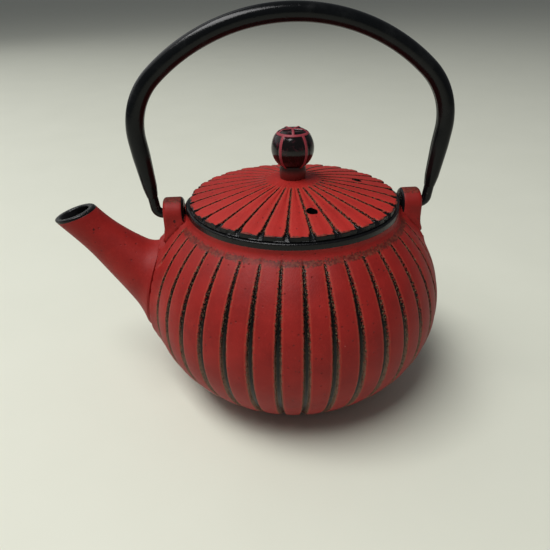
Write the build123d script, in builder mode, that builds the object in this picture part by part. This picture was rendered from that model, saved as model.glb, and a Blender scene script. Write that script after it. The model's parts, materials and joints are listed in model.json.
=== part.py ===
from build123d import *
from math import asin, cos, degrees, radians, sin, sqrt, tan
import os

# A small enamelled cast iron teapot. All sizes are in millimetres.
# The origin is on the pot's upright axis, at table level. +Z is up, the spout points along -X,
# and the bail's hinge line lies along X through the two lugs.

# ---- driving sizes -------------------------------------------------------------------

# pot casting
belly_radius = 62.0              # over the rib tops, at the widest ring
belly_height = 41.0              # height of the widest ring above the table
belly_rise = 51.8                # above that ring the outline is an ellipse this tall
belly_under = 7.4                # the ellipse below it would end this far under the table
wall = 3.6                       # iron wall, measured from the rib tops
floor_thickness = 4.0
foot_height = 2.0
foot_setback = 5.72              # from the belly's lower edge in to the foot ring
foot_width = 4.0
collar_width = 5.4               # iron outside the step in the mouth
collar_height = 4.68             # the collar's top above the shoulder
collar_fillet = 2.5
mouth_radius = 34.0
mouth_land = 3.9                 # iron under the seat, at the mouth's edge
seat_width = 3.6                 # step in the mouth that carries the infuser's flange
seat_depth = 1.6

# ribs: what is left of the iron between narrow grooves
rib_count = 38
rib_phase = -91.9                # degrees, where one groove stands
groove_angle = 2.1               # degrees
groove_depth = 1.1
groove_top_gap = 2.1             # smooth iron between the grooves and the shoulder
groove_foot_gap = 4.0            # and between the grooves and the foot

# lugs
lug_gap = 1.4                    # from the collar out to a lug's inner face
lug_thickness = 8.2
lug_radius = 6.4
lug_root = 14.0                  # how far a lug reaches down into the shoulder
lug_rounding = 1.3
hinge_drop = 3.6                 # from the collar's top down to the hinge line

# spout: distance outside the belly's widest ring, height above it, and outer radius,
# along the spout's centre line
spout_stations = [
    (-20.0, -4.0, 20.5),
    (-10.0, 4.2, 17.6),
    (-1.5, 11.3, 13.7),
    (7.5, 19.5, 10.4),
    (17.4, 30.0, 8.0),
    (26.6, 40.6, 7.7),
    (34.0, 49.2, 7.7),
]
spout_wall = 2.4
pour_reach = 26.3                # middle of the pouring mouth, from the same ring
pour_rise = 40.6
pour_slope = 16.2                # degrees that the mouth's cut rises towards the pot

# lid
lid_margin = 1.0                 # the lid's edge stands this far inside the collar's
lid_edge = 2.0
lid_rise = 7.5
lid_thickness = 2.6
hub_margin = 1.2                 # flat hub outside the knob's neck
boss_margin = 2.0                # boss outside the washer
boss_depth = 2.0
skirt_thickness = 2.0
skirt_depth = 6.0
skirt_gap = 0.5
seat_gap = 0.1
lid_groove_count = 29
lid_groove_phase = -86.7         # degrees
lid_groove_gap = 3.5             # from the hub to the grooves' inner ends
lid_groove_width = 1.3
lid_groove_depth = 0.9
vent_margin = 0.4                # between a vent and the lid's skirt
vent_radius = 2.0
vent_angles = (-81.1, 8.9)       # degrees

# knob, its screw and washer
knob_radius = 8.4
knob_centre = 11.7               # ball centre above the lid's hub
knob_neck = 5.3
knob_flat = 0.8                  # height planed off the ball's top
screw_radius = 2.0
screw_clearance = 0.05
screw_reach = 9.0                # thread inside the knob
screw_head_width = 1.8           # head outside the thread
screw_head_height = 2.0
screw_slot = 0.9
washer_width = 1.7               # washer outside the head
washer_thickness = 0.8

# bail: a rolled tube with a wire hook pressed into each swaged end
bail_height = 72.8               # centre line at the crown, above the hinge line
crown_radius = 75.0
shoulder_radius = 27.0
leg_lean = 7.4                   # degrees that each leg leans in towards its lug
bail_radius = 3.5
bail_wall = 0.8
tip_wall = 0.6
tip_height = 7.0                 # along the leg, where the tube ends
leg_straight = 5.8               # plain tube between the taper and the shoulder bend
hook_radius = 2.0
hook_grip = 7.0                  # length of hook held inside the tube
hook_inside = 1.0                # radius left inside the hook's bend
hook_clearance = 0.3             # from the hook's bend to the lug's outer face
hook_overhang = 0.4              # how far the hook stands past the lug's inner face
hook_fit = 0.08                  # radial clearance in the lug's hole
hook_chamfer = 0.5

# infuser basket, pressed from thin stainless sheet
basket_clearance = 0.6           # from the basket to the mouth
flange_clearance = 0.4           # from the flange's edge to the step in the mouth
sheet = 0.5
rim_depth = 9.0
basket_depth = 36.0
band_height = 4.0

# ---- sizes that follow ----------------------------------------------------------------

belly_drop = belly_height + belly_under
belly_edge = belly_radius * sqrt(1 - ((belly_height - foot_height) / belly_drop) ** 2)
foot_radius = belly_edge - foot_setback
seat_radius = mouth_radius + seat_width
collar_radius = seat_radius + collar_width
shoulder_height = belly_height + belly_rise * sqrt(1 - (collar_radius / belly_radius) ** 2)
collar_top = shoulder_height + collar_height
seat_floor = collar_top - seat_depth
cavity_floor = foot_height + floor_thickness
cavity_top = seat_floor - mouth_land
groove_top = shoulder_height - groove_top_gap
groove_bottom = foot_height + groove_foot_gap
hinge_height = collar_top - hinge_drop
lug_inner = collar_radius + lug_gap
lug_outer = lug_inner + lug_thickness
lug_bore = hook_radius + hook_fit

flange_radius = seat_radius - flange_clearance
flange_bottom = seat_floor + seat_gap
infuser_top = flange_bottom + sheet
basket_bottom = infuser_top - basket_depth
basket_radius = mouth_radius - basket_clearance
mesh_radius = basket_radius - sheet
mesh_bore = mesh_radius - sheet

screw_bore = screw_radius + screw_clearance
screw_head_radius = screw_radius + screw_head_width
washer_radius = screw_head_radius + washer_width

lid_radius = collar_radius - lid_margin
lid_bottom = collar_top + seat_gap
lid_shoulder = lid_bottom + lid_edge
hub_height = lid_shoulder + lid_rise
hub_radius = knob_neck + hub_margin
lid_groove_start = hub_radius + lid_groove_gap
boss_radius = washer_radius + boss_margin
boss_face = hub_height - lid_thickness - boss_depth
skirt_radius = mesh_bore - skirt_gap
skirt_bore = skirt_radius - skirt_thickness
vent_ring = skirt_bore - vent_radius - vent_margin

tip_radius = hook_radius + tip_wall
hook_bend = hook_radius + hook_inside

os.makedirs("parts", exist_ok=True)


def write(builder, name):
    """Labels a finished piece and writes it."""
    builder.part.label = name
    export_step(builder.part, f"parts/{name}.step")


# ---- pot casting ----------------------------------------------------------------------


def belly_outline(inset, low, high):
    """The belly's outline moved in by inset, between two heights: two arcs of ellipse."""
    radius = belly_radius - inset
    rise = belly_rise - inset
    drop = belly_drop - inset
    low_angle = degrees(asin((low - belly_height) / drop))
    high_angle = degrees(asin((high - belly_height) / rise))
    centre = (0, belly_height)
    lower = EllipticalCenterArc(centre, radius, drop, low_angle, arc_size=-low_angle)
    upper = EllipticalCenterArc(centre, radius, rise, 0, arc_size=high_angle)
    return lower @ 0, upper @ 1


# one groove: a sliver of the belly's skin, turned through the groove's width
with BuildPart() as groove:
    with BuildSketch(Plane.XZ):
        with BuildLine():
            floor_low, floor_high = belly_outline(groove_depth, groove_bottom, groove_top)
            skin_low, skin_high = belly_outline(-groove_depth, groove_bottom, groove_top)
            Line(floor_low, skin_low)
            Line(floor_high, skin_high)
        make_face()
    revolve(axis=Axis.Z, revolution_arc=groove_angle)


def spout_body(inset):
    """The spout as a solid of round sections along its centre line, moved in by inset."""
    with BuildPart() as tube:
        for i, (reach, rise, radius) in enumerate(spout_stations):
            before = spout_stations[max(i - 1, 0)]
            after = spout_stations[min(i + 1, len(spout_stations) - 1)]
            along = Vector(before[0] - after[0], 0, after[1] - before[1])
            centre = (-(belly_radius + reach), 0, belly_height + rise)
            with BuildSketch(Plane(origin=centre, z_dir=along)):
                Circle(radius - inset)
        loft()
    return tube.part


pour_normal = Vector(-sin(radians(pour_slope)), 0, cos(radians(pour_slope)))
pour_point = (-(belly_radius + pour_reach), 0, belly_height + pour_rise)
pour_plane = Plane(origin=pour_point, z_dir=pour_normal)

with BuildPart() as lug_block:
    with BuildSketch(Plane.YZ.offset(lug_inner)):
        with Locations((0, hinge_height)):
            Circle(lug_radius)
            Rectangle(2 * lug_radius, lug_root, align=(Align.CENTER, Align.MAX))
    extrude(amount=lug_thickness)
    fillet(lug_block.edges().filter_by(Plane.YZ).group_by(Axis.Z)[-1], lug_rounding)

# the ribbed body before it is hollowed: what the spout and the lugs are joined to
with BuildPart() as ribbed_body:
    with BuildSketch(Plane.XZ):
        with BuildLine():
            belly_low, belly_high = belly_outline(0, foot_height, shoulder_height)
            Polyline(
                belly_high,
                (collar_radius, collar_top),
                (0, collar_top),
                (0, foot_height),
                (foot_radius - foot_width, foot_height),
                (foot_radius - foot_width, 0),
                (foot_radius, 0),
                (foot_radius, foot_height),
                belly_low,
            )
        make_face()
    revolve(axis=Axis.Z)
    root = ribbed_body.edges().sort_by_distance((collar_radius, 0, shoulder_height))[0]
    fillet(root, collar_fillet)
    with PolarLocations(0, rib_count, start_angle=rib_phase - groove_angle / 2):
        add(groove.part, mode=Mode.SUBTRACT)

spout_bore = spout_body(spout_wall)

with BuildPart() as pot_casting:
    add(ribbed_body.part)
    # the hollow: belly, mouth, and the step that carries the infuser
    with BuildSketch(Plane.XZ):
        with BuildLine():
            hollow_low, hollow_high = belly_outline(wall, cavity_floor, cavity_top - wall / 2)
            Polyline(
                hollow_high,
                (mouth_radius, cavity_top),
                (mouth_radius, seat_floor),
                (seat_radius, seat_floor),
                (seat_radius, collar_top),
                (0, collar_top),
                (0, cavity_floor),
                hollow_low,
            )
        make_face()
    revolve(axis=Axis.Z, mode=Mode.SUBTRACT)
    add(spout_bore, mode=Mode.SUBTRACT)
write(pot_casting, "pot_casting")

# the spout and the lugs are cast with the body, and each is a node of its own outside it
with BuildPart() as spout:
    add(spout_body(0))
    split(bisect_by=pour_plane, keep=Keep.BOTTOM)
    add(ribbed_body.part, mode=Mode.SUBTRACT)
    add(spout_bore, mode=Mode.SUBTRACT)
write(spout, "spout")

with BuildPart() as lug_right:
    add(lug_block.part)
    add(ribbed_body.part, mode=Mode.SUBTRACT)
    middle = (lug_inner + lug_thickness / 2, 0, hinge_height)
    with Locations(Location(middle, (0, 90, 0))):
        Cylinder(lug_bore, 2 * lug_thickness, mode=Mode.SUBTRACT)
write(lug_right, "lug_right")

with BuildPart() as lug_left:
    add(mirror(lug_block.part, about=Plane.YZ, mode=Mode.PRIVATE))
    add(ribbed_body.part, mode=Mode.SUBTRACT)
    middle = (-lug_inner - lug_thickness / 2, 0, hinge_height)
    with Locations(Location(middle, (0, 90, 0))):
        Cylinder(lug_bore, 2 * lug_thickness, mode=Mode.SUBTRACT)
write(lug_left, "lug_left")

# ---- lid ------------------------------------------------------------------------------


def lid_height(radius):
    """Height of the lid's upper face at a distance from its axis."""
    return lid_shoulder + lid_rise * (1 - (radius / lid_radius) ** 1.5)


def lid_curve(inner, outer, lowered):
    """The lid's domed outline between two radii, lowered by a thickness."""
    steps = 5
    radii = [inner + (outer - inner) * i / steps for i in range(steps + 1)]
    return Spline([(radius, lid_height(radius) - lowered) for radius in radii])


# one groove: a wedge whose lower edge runs from the lid's face down into its rim
with BuildPart() as lid_groove:
    with BuildSketch(Plane.XZ):
        with BuildLine():
            Polyline(
                (lid_groove_start, lid_height(lid_groove_start)),
                (lid_radius, lid_shoulder - lid_groove_depth),
                (lid_radius + lid_edge, lid_shoulder - lid_groove_depth),
                (lid_radius + lid_edge, hub_height),
                (lid_groove_start, hub_height),
                close=True,
            )
        make_face()
    extrude(amount=lid_groove_width / 2, both=True)

with BuildPart() as lid:
    with BuildSketch(Plane.XZ):
        with BuildLine():
            upper = lid_curve(hub_radius, lid_radius, 0)
            lower = lid_curve(boss_radius, skirt_bore, lid_thickness)
            Polyline(
                upper @ 1,
                (lid_radius, lid_bottom),
                (skirt_radius, lid_bottom),
                (skirt_radius, lid_bottom - skirt_depth),
                (skirt_bore, lid_bottom - skirt_depth),
                lower @ 1,
            )
            Polyline(
                lower @ 0,
                (boss_radius, boss_face),
                (screw_bore, boss_face),
                (screw_bore, hub_height),
                (hub_radius, hub_height),
                upper @ 0,
            )
        make_face()
    revolve(axis=Axis.Z)
    with PolarLocations(0, lid_groove_count, start_angle=lid_groove_phase):
        add(lid_groove.part, mode=Mode.SUBTRACT)
    for angle in vent_angles:
        with PolarLocations(vent_ring, 1, start_angle=angle):
            Cylinder(vent_radius, 2 * hub_height, mode=Mode.SUBTRACT)
write(lid, "lid")

# ---- knob, screw and washer -------------------------------------------------------------

ball_height = hub_height + knob_centre
ball_top = ball_height + knob_radius - knob_flat

with BuildPart() as knob:
    with Locations((0, 0, hub_height)):
        Cylinder(knob_neck, knob_centre, align=(Align.CENTER, Align.CENTER, Align.MIN))
    with Locations((0, 0, ball_height)):
        Sphere(knob_radius)
    split(bisect_by=Plane.XY.offset(ball_top), keep=Keep.BOTTOM)
    with BuildSketch(Plane.XY.offset(hub_height)):
        Circle(screw_bore)
    extrude(amount=screw_reach + screw_clearance, mode=Mode.SUBTRACT)
write(knob, "knob")

with BuildPart() as knob_washer:
    with BuildSketch(Plane.XY.offset(boss_face - washer_thickness)):
        Circle(washer_radius)
        Circle(screw_bore, mode=Mode.SUBTRACT)
    extrude(amount=washer_thickness)
write(knob_washer, "knob_washer")

head_face = boss_face - washer_thickness
with BuildPart() as knob_screw:
    with BuildSketch(Plane.XY.offset(head_face)):
        Circle(screw_radius)
    extrude(amount=hub_height + screw_reach - head_face)
    with BuildSketch(Plane.XY.offset(head_face)):
        Circle(screw_head_radius)
    extrude(amount=-screw_head_height)
    fillet(knob_screw.edges().sort_by(Axis.Z)[0], screw_head_height / 2)
    with BuildSketch(Plane.XY.offset(head_face - screw_head_height)):
        Rectangle(2 * screw_head_radius, screw_slot)
    extrude(amount=screw_head_height / 2, mode=Mode.SUBTRACT)
write(knob_screw, "knob_screw")

# ---- bail -------------------------------------------------------------------------------
# Each leg leans in to its lug. A tight shoulder arc joins it to the long crown arc.

lean = radians(leg_lean)
leg_way = Vector(sin(lean), 0, cos(lean))             # up the right-hand leg
leg_out = Vector(cos(lean), 0, -sin(lean))            # square to it, away from the pot
hook_turn = radians(90 - leg_lean)
corner_reach = lug_outer + hook_clearance + hook_bend * tan(hook_turn / 2)
hook_corner = Vector(corner_reach, 0, hinge_height)
hook_end = Vector(lug_inner - hook_overhang, 0, hinge_height)
crown_top = Vector(0, 0, hinge_height + bail_height)
crown_middle = crown_top - Vector(0, 0, crown_radius)
# the shoulder's centre is shoulder_radius inside the leg, and its arc ends on the crown's
from_crown = hook_corner - leg_out * shoulder_radius - crown_middle
along_leg = from_crown.dot(leg_way)
centre_gap = crown_radius - shoulder_radius
leg_length = -along_leg + sqrt(along_leg**2 - from_crown.dot(from_crown) + centre_gap**2)
shoulder_middle = hook_corner - leg_out * shoulder_radius + leg_way * leg_length
leg_top = hook_corner + leg_way * leg_length
crown_way = (shoulder_middle - crown_middle).normalized()
crown_join = crown_middle + crown_way * crown_radius
shoulder_mid = shoulder_middle + (crown_way + leg_out).normalized() * shoulder_radius
tip = hook_corner + leg_way * tip_height
taper_length = leg_length - tip_height - leg_straight
taper_top = tip + leg_way * taper_length


def other_side(point):
    """The same point on the bail's left side."""
    return Vector(-point.X, point.Y, point.Z)


with BuildPart() as bail_tube:
    with BuildLine() as bail_path:
        Line(taper_top, leg_top)
        ThreePointArc(leg_top, shoulder_mid, crown_join)
        ThreePointArc(crown_join, crown_top, other_side(crown_join))
        ThreePointArc(other_side(crown_join), other_side(shoulder_mid), other_side(leg_top))
        Line(other_side(leg_top), other_side(taper_top))
    with BuildSketch(Plane(origin=taper_top, z_dir=leg_way)):
        Circle(bail_radius)
        Circle(bail_radius - bail_wall, mode=Mode.SUBTRACT)
    sweep(path=bail_path.line)
    # the swaged end: a cone outside, a straight bore for the hook and a cone inside
    with BuildSketch(Plane(origin=tip, x_dir=leg_out, z_dir=(0, -1, 0))):
        with BuildLine():
            Polyline(
                (tip_radius, 0),
                (bail_radius, taper_length),
                (bail_radius - bail_wall, taper_length),
                (hook_radius, hook_grip),
                (hook_radius, 0),
                close=True,
            )
        make_face()
    revolve(axis=Axis(tip, leg_way))
    mirror(about=Plane.YZ)
write(bail_tube, "bail_tube")

with BuildPart() as bail_hook_right:
    with BuildLine() as hook_path:
        FilletPolyline(tip + leg_way * hook_grip, hook_corner, hook_end, radius=hook_bend)
    with BuildSketch(Plane(origin=tip + leg_way * hook_grip, z_dir=leg_way)):
        Circle(hook_radius)
    sweep(path=hook_path.line)
    end_edge = bail_hook_right.edges().filter_by(GeomType.CIRCLE).sort_by_distance(hook_end)[0]
    chamfer(end_edge, hook_chamfer)
write(bail_hook_right, "bail_hook_right")

with BuildPart() as bail_hook_left:
    mirror(bail_hook_right.part, about=Plane.YZ)
write(bail_hook_left, "bail_hook_left")


# ---- infuser basket ---------------------------------------------------------------------

with BuildPart() as infuser_rim:
    with BuildSketch(Plane.XY.offset(flange_bottom)):
        Circle(flange_radius)
        Circle(mesh_radius, mode=Mode.SUBTRACT)
    extrude(amount=sheet)
    fillet(infuser_rim.edges().sort_by(SortBy.LENGTH)[-2:], sheet / 3)
    with BuildSketch(Plane.XY.offset(flange_bottom)):
        Circle(basket_radius)
        Circle(mesh_radius, mode=Mode.SUBTRACT)
    extrude(amount=-rim_depth)
write(infuser_rim, "infuser_rim")

with BuildPart() as infuser_wall:
    with BuildSketch(Plane.XY.offset(basket_bottom)):
        Circle(mesh_radius)
        Circle(mesh_bore, mode=Mode.SUBTRACT)
    extrude(amount=basket_depth - rim_depth / 3)
write(infuser_wall, "infuser_wall")

with BuildPart() as infuser_floor:
    with BuildSketch(Plane.XY.offset(basket_bottom)):
        Circle(mesh_bore)
    extrude(amount=sheet)
write(infuser_floor, "infuser_floor")

with BuildPart() as infuser_band:
    with BuildSketch(Plane.XY.offset(basket_bottom)):
        Circle(basket_radius)
        Circle(mesh_radius, mode=Mode.SUBTRACT)
    extrude(amount=band_height)
write(infuser_band, "infuser_band")
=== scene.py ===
# %% [markdown]
# A small cast iron teapot: a ribbed red pot with a spout and two lugs, a ribbed lid with a ball
# knob, a black wire-hooked bail and a steel basket for the leaves. The design, its sizes and its
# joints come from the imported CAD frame. This file gives each piece its cast surface and finish.

# %% Load the frame
import json
import math

import bmesh
import bpy
import numpy as np
from mathutils import Matrix, Vector


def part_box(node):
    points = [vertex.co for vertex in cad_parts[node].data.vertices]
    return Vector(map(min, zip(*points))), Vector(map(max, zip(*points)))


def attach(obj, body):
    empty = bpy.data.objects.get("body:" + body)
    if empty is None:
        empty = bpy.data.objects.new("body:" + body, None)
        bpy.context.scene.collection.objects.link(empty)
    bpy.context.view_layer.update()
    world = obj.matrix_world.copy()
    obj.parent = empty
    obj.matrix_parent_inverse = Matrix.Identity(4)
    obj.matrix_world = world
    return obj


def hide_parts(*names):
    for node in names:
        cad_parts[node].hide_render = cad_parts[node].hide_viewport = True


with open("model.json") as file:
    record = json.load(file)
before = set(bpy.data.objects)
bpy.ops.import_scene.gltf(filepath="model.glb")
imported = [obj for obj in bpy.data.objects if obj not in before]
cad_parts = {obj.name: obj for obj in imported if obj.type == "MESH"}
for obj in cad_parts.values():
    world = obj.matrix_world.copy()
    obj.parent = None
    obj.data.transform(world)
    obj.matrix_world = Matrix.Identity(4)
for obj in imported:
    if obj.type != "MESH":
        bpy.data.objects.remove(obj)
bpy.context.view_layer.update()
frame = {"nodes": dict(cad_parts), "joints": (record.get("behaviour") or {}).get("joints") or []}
MM = 0.001                       # shapes are worked out in millimetres and stored in metres

# %% [markdown]
# The hinge line, the radii of the belly, the lid and the bail, and the heights of the lid and the
# basket are read from the frame, so that the surfaces meet the CAD's. The frame holds no belly
# ellipse or spout line: those are the design's own numbers, given where they are used.

# %% Sizes read from the frame


def node_box(name):
    """A CAD node's lowest and highest corners, in millimetres."""
    low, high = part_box(name)
    return np.array(low) / MM, np.array(high) / MM


joints = {joint["name"]: joint for joint in frame["joints"]}
HINGE = joints["bail_swing"]["pos_m"][2] / MM
lid_low, lid_high = node_box("lid")
rim_low, rim_high = node_box("infuser_rim")
wall_low, wall_high = node_box("infuser_wall")
band_low, band_high = node_box("infuser_band")
BELLY = node_box("pot_casting")[1][1]    # belly radius over the rib tops
LID = lid_high[1]                        # lid radius
HUB = lid_high[2]                        # height of the lid's hub
KNOB_TOP = node_box("knob")[1][2]
BAIL_RADIUS = node_box("bail_tube")[1][1]
print("hinge", HINGE, "belly", BELLY, "lid", LID, "hub", HUB)

# %% [markdown]
# Cast and turned shapes are surfaces: rows of points along a profile, and columns around it. One
# helper turns such a grid of points into a mesh. It closes the columns into a ring, closes each
# end with a pole or joins the last row to the first, and turns every face outwards by the sign
# of the volume that the shell holds.

# %% Helpers that turn grids of points into meshes


def make_object(name, vertices, faces, sharp=40.0):
    """A mesh object from points in millimetres. Faces that meet at more than sharp degrees stay crisp."""
    mesh = bpy.data.meshes.new(name)
    mesh.from_pydata((np.asarray(vertices) * MM).tolist(), [], faces)
    mesh.shade_smooth()
    mesh.set_sharp_from_angle(angle=math.radians(sharp))
    piece = bpy.data.objects.new(name, mesh)
    bpy.context.scene.collection.objects.link(piece)
    return piece


def enclosed(vertices, faces):
    """Signed volume of a closed shell: the sum of its faces' corner products, as fans of triangles."""
    total = 0.0
    for size in (3, 4):
        chosen = np.array([face for face in faces if len(face) == size], int).reshape(-1, size)
        for last in range(2, size):
            a, b, c = (vertices[chosen[:, k]] for k in (0, last - 1, last))
            total += np.einsum("ij,ij->i", a, np.cross(b, c)).sum() / 6
    return total


def surface(name, grid, first=None, last=None, loop=False, sharp=40.0):
    """A closed shell from a grid of rows and columns of points. The columns join into a ring; first and
    last are pole points that close the end rows, and loop joins the last row to the first instead."""
    rows, columns, _ = grid.shape
    index = np.arange(rows * columns).reshape(rows, columns)
    if loop:
        index = np.vstack([index, index[:1]])
    here, beside = index, np.roll(index, -1, axis=1)
    quads = np.stack([here[:-1], beside[:-1], beside[1:], here[1:]], axis=-1).reshape(-1, 4)
    vertices = grid.reshape(-1, 3)
    faces = quads.tolist()
    for pole, row, step in ((first, 0, 1), (last, -1, -1)):
        if pole is not None:
            tip = np.full(columns, len(vertices))
            vertices = np.vstack([vertices, pole])
            ring = np.stack([beside[row], here[row], tip], axis=-1)[:, ::step]
            faces += ring.tolist()
    if enclosed(vertices, faces) < 0:
        faces = [face[::-1] for face in faces]
    return make_object(name, vertices, faces, sharp)


def turned(profile, angles):
    """Points of a profile of (radius, height) turned about the pot's axis to the given angles."""
    radius, height = profile[:, :1], profile[:, 1:]
    return np.stack([radius * np.cos(angles), radius * np.sin(angles),
                     np.broadcast_to(height, radius.shape[:1] + angles.shape[-1:])], axis=-1)


def rounded(points, radii, steps=5):
    """An outline whose corners are replaced by arcs of the given radii, each of a few steps."""
    points = np.asarray(points, float)
    outline = [points[:1]]
    for before, corner, after, radius in zip(points, points[1:], points[2:], radii):
        back = (before - corner) / np.linalg.norm(before - corner)
        on = (after - corner) / np.linalg.norm(after - corner)
        half = 0.5 * math.acos(np.clip(back @ on, -1, 1))
        middle = corner + (back + on) / np.linalg.norm(back + on) * radius / math.sin(half)
        start, end = (corner + way * radius / math.tan(half) - middle for way in (back, on))
        sweep = math.pi - 2 * half
        share = np.linspace(0, 1, steps)[:, None]
        arc = (np.sin((1 - share) * sweep) * start + np.sin(share * sweep) * end) / math.sin(sweep)
        outline.append(middle + arc)
    outline.append(points[-1:])
    return np.vstack(outline)


def refined(outline, spacing):
    """The same outline with extra points, so that no two are further apart than spacing."""
    pieces = []
    for start, end in zip(outline, outline[1:]):
        count = max(1, math.ceil(np.linalg.norm(end - start) / spacing))
        pieces.append(start + (end - start) * np.arange(count)[:, None] / count)
    return np.vstack(pieces + [outline[-1:]])


def smoothstep(value, low, high):
    """0 below low, 1 above high, and an even S between them."""
    share = np.clip((value - low) / (high - low), 0, 1)
    return share * share * (3 - 2 * share)


def wobble(angle, height, size, seed, waves=9):
    """Slow unevenness of a sand mould: a sum of sine waves round and up the pot, at most about size."""
    draw = np.random.default_rng(seed)
    total = 0.0
    for _ in range(waves):
        turns, rise = draw.integers(1, 12), draw.uniform(-0.16, 0.16)
        total = total + np.sin(turns * angle + rise * height + draw.uniform(0, 2 * math.pi))
    return size * total / math.sqrt(waves)


def keep_values(piece, **values):
    """Stores one number for each vertex under each name, for the materials to read."""
    for name, numbers in values.items():
        layer = piece.data.attributes.new(name, "FLOAT", "POINT")
        layer.data.foreach_set("value", np.asarray(numbers, np.float32))


def vertices_of(piece):
    """The vertices of a mesh, in millimetres."""
    found = np.zeros(len(piece.data.vertices) * 3, np.float32)
    piece.data.vertices.foreach_get("co", found)
    return found.reshape(-1, 3).astype(float) / MM


def combined(name, base, steps, sharp=38.0):
    """Joins and cuts closed shells: steps is a list of (operation, shell). The helper shells are removed,
    and so is a face that joins no other, which a cut can leave where two shells nearly coincide."""
    for operation, shell in steps:
        cut = base.modifiers.new(operation, "BOOLEAN")
        cut.operation, cut.object, cut.solver = operation, shell, "MANIFOLD"
    graph = bpy.context.evaluated_depsgraph_get()
    mesh = bpy.data.meshes.new_from_object(base.evaluated_get(graph))
    for shell in [base] + [shell for _, shell in steps]:
        bpy.data.objects.remove(shell)
    mesh.name = name
    mesh.materials.clear()
    mesh.validate()
    faces = bmesh.new()
    faces.from_mesh(mesh)
    stray = [face for face in faces.faces if all(len(edge.link_faces) == 1 for edge in face.edges)]
    bmesh.ops.delete(faces, geom=stray, context="FACES")
    faces.to_mesh(mesh)
    faces.free()
    mesh.shade_smooth()
    mesh.set_sharp_from_angle(angle=math.radians(sharp))
    piece = bpy.data.objects.new(name, mesh)
    bpy.context.scene.collection.objects.link(piece)
    return piece


def report(piece):
    """Prints a piece's size and its number of faces."""
    points = vertices_of(piece)
    low, high = points.min(0).round(2), points.max(0).round(2)
    print(piece.name, "faces", len(piece.data.polygons), "from", low, "to", high)


# %% [markdown]
# The pot is one sand casting. Its outline is two quarter ellipses that meet at the widest ring,
# a short collar round the mouth and a low foot. Thirty-eight grooves run from the shoulder to the
# base. They could be cut with booleans, but a mould is not that exact: here each row of the
# surface knows how wide and deep the groove is at its height, and the columns crowd together
# where the groove's sides are steep.

# %% The belly's outline
BELLY_HEIGHT, BELLY_RISE, BELLY_DROP = 41.0, 51.8, 48.4
FOOT_RADIUS, FOOT_WIDTH, FOOT_HEIGHT = 31.0, 4.0, 2.0
COLLAR, COLLAR_TOP = 43.0, 83.0
WALL = 3.6


def belly_radius(height, inset=0.0):
    """Radius of the belly's ellipse at a height, moved in by inset."""
    reach = np.where(height > BELLY_HEIGHT, BELLY_RISE, BELLY_DROP) - inset
    share = np.clip((height - BELLY_HEIGHT) / reach, -1, 1)
    return (BELLY - inset) * np.sqrt(1 - share ** 2)


def belly_distance(points, inset=0.0):
    """Roughly how far points are outside the belly: the ellipsoid's own formula over its slope."""
    across = np.hypot(points[..., 0], points[..., 1])
    up = points[..., 2] - BELLY_HEIGHT
    tall = np.where(up > 0, BELLY_RISE, BELLY_DROP) - inset
    wide = BELLY - inset
    level = np.sqrt((across / wide) ** 2 + (up / tall) ** 2)
    slope = np.sqrt((across / wide ** 2) ** 2 + (up / tall ** 2) ** 2) / np.maximum(level, 1e-6)
    return (level - 1) / slope


def belly_arc(low, high, rows, inset=0.0):
    """The belly's outline from a low to a high point, evenly stepped in the ellipse's own angle."""
    start = math.asin((low - BELLY_HEIGHT) / (BELLY_DROP - inset))
    end = math.asin((high - BELLY_HEIGHT) / (BELLY_RISE - inset))
    angle = np.linspace(start, end, rows)
    tall = np.where(angle > 0, BELLY_RISE, BELLY_DROP) - inset
    return np.stack([(BELLY - inset) * np.cos(angle), BELLY_HEIGHT + tall * np.sin(angle)], axis=-1)


shoulder = BELLY_HEIGHT + BELLY_RISE * math.sqrt(1 - ((COLLAR + 1.6) / BELLY) ** 2)
arc = belly_arc(3.2, shoulder, 66)
foot = refined(rounded(
    [(6, FOOT_HEIGHT), (FOOT_RADIUS - FOOT_WIDTH, FOOT_HEIGHT), (FOOT_RADIUS - FOOT_WIDTH, 0),
     (FOOT_RADIUS, 0), (FOOT_RADIUS, FOOT_HEIGHT), (belly_radius(FOOT_HEIGHT) - 0.6, FOOT_HEIGHT), arc[0]],
    [0.6, 0.5, 0.6, 0.7, 1.1]), 6.0)
collar = refined(rounded([arc[-1], (COLLAR, shoulder + 2.2), (COLLAR, COLLAR_TOP), (30, COLLAR_TOP)],
                         [2.4, 0.7], steps=6), 2.0)
outline = np.vstack([foot[:-1], arc, collar[1:]])
print("outline rows", len(outline))

# %% [markdown]
# The spout is a round tube that narrows and bends gently upwards. It is worked out before the
# belly, because the ribs fade out near it and the iron swells into a fillet where they meet.
# Each of its lines starts inside the belly's wall and ends on the slanting plane of the mouth.

# %% The spout's centre line
SPOUT = np.array([(42.0, 37.0, 20.5), (52.0, 45.2, 17.6), (60.5, 52.3, 13.7), (69.5, 60.5, 10.4),
                  (79.4, 71.0, 8.0), (88.6, 81.6, 7.7), (96.0, 90.2, 7.7)])   # reach, height, radius
SPOUT_WALL = 2.4
POUR = np.array([-88.3, 0.0, 81.6])
POUR_SLOPE = math.radians(16.2)
POUR_NORMAL = np.array([-math.sin(POUR_SLOPE), 0, math.cos(POUR_SLOPE)])


def smooth_curve(knots, share):
    """A curve through the knots at shares from 0 to 1: each span is the cubic whose slope at each end is half
    the step between the knots on either side."""
    spans = len(knots) - 1
    place = np.clip(share, 0, 1) * spans
    span = np.minimum(place.astype(int), spans - 1)
    t = (place - span)[..., None]
    padded = np.vstack([2 * knots[0] - knots[1], knots, 2 * knots[-1] - knots[-2]])
    a, b, c, d = (padded[span + k] for k in range(4))
    square, cube = 2 * a - 5 * b + 4 * c - d, 3 * b - a - 3 * c + d
    return 0.5 * (2 * b + (c - a) * t + square * t ** 2 + cube * t ** 3)


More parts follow.
